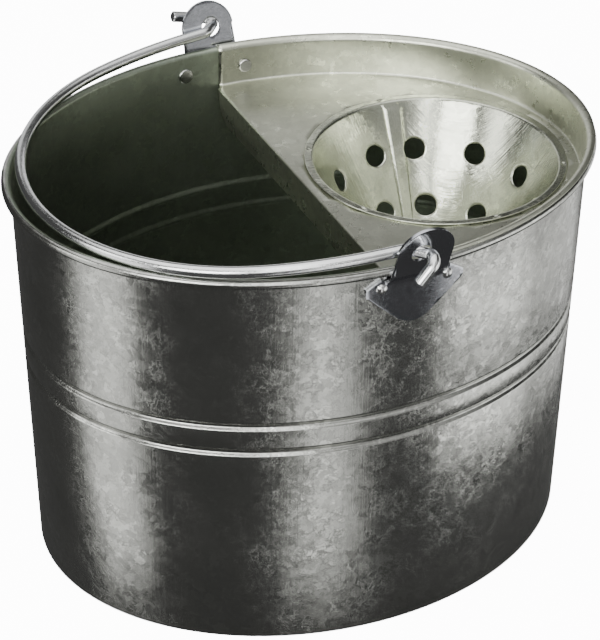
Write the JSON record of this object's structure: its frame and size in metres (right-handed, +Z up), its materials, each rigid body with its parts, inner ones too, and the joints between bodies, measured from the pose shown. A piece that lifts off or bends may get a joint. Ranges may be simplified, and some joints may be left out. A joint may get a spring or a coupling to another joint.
{
  "type": "mop bucket with cone wringer",
  "caption": "Oval galvanised bucket with a beaded rim, two swaged grooves, a half deck holding a perforated cone wringer, riveted ears and a swinging wire bail.",
  "frame": {"origin": "centre of the bucket's bottom edge, on the ground", "axes": "+Z up, +X towards the wringer end, -Y towards the front ear"},
  "size_m": [0.33, 0.2968, 0.2563],
  "materials": {
    "wall_zinc": "satin",
    "deck_zinc": "satin",
    "cone_zinc": "satin",
    "ear_steel": "satin",
    "rivet_steel": "satin",
    "wire_steel": "satin"
  },
  "bodies": {
    "bucket": {"bucket_body": "wall_zinc", "rim_wire": "wire_steel", "base_plate": "wall_zinc", "wringer_plate": "deck_zinc", "wringer_cone": "cone_zinc", "cone_bottom": "cone_zinc", "front_ear": "ear_steel", "rear_ear": "ear_steel", "rivet_front_left": "rivet_steel", "rivet_front_right": "rivet_steel", "rivet_rear_left": "rivet_steel", "rivet_rear_right": "rivet_steel"},
    "bail": {"bail_handle": "wire_steel"}
  },
  "joints": [
    {"name": "bail_swing", "type": "hinge", "parent": "bucket", "child": "bail", "pos_m": [0.0023, 0, 0.2409], "axis": [0, 1, 0], "range_deg": [0, 185]}
  ]
}
